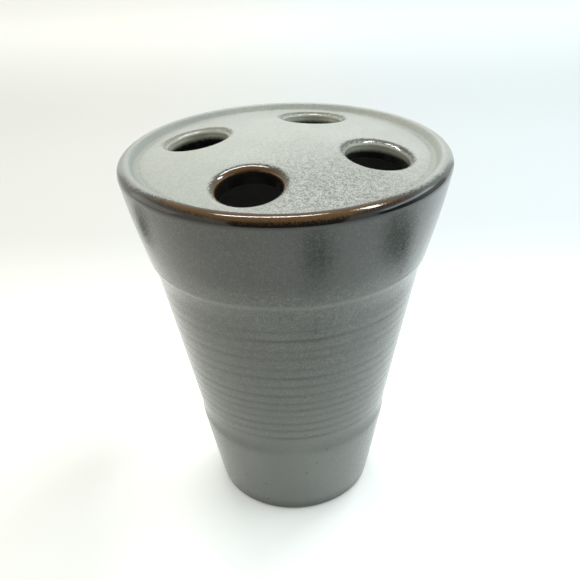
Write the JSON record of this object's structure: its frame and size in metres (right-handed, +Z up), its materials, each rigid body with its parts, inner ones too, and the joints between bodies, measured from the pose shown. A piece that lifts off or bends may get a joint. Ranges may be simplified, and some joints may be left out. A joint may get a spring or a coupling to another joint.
{
  "type": "toothbrush holder",
  "caption": "Tapered thrown stoneware toothbrush holder: a glazed cup closed by a domed top plate with round holes that hold brushes upright.",
  "frame": {"origin": "centre of the foot, on the surface that the holder stands on", "axes": "+Z up along the cup's axis; -Y towards the side that the picture shows"},
  "size_m": [0.09, 0.09, 0.1116],
  "materials": {
    "clay_body": "bare fired stoneware, matt buff-brown",
    "slip": "fired slip, matt",
    "liner": "near-black gloss glaze inside",
    "wall_coat": "satin grey-green iron glaze with fine light and dark specks",
    "bronze_break": "thin glaze broken to glossy bronze-brown over the edges",
    "top_coat": "satin grey-green iron glaze with fine crystals"
  },
  "bodies": {
    "root": {"thrown_cup": "clay_body", "top_plate": "clay_body", "slip_joint": "slip", "liner_glaze": "liner", "wall_glaze": "wall_coat", "rim_glaze": "bronze_break", "top_glaze": "top_coat", "hole_edge_glaze": "bronze_break"}
  },
  "joints": []
}
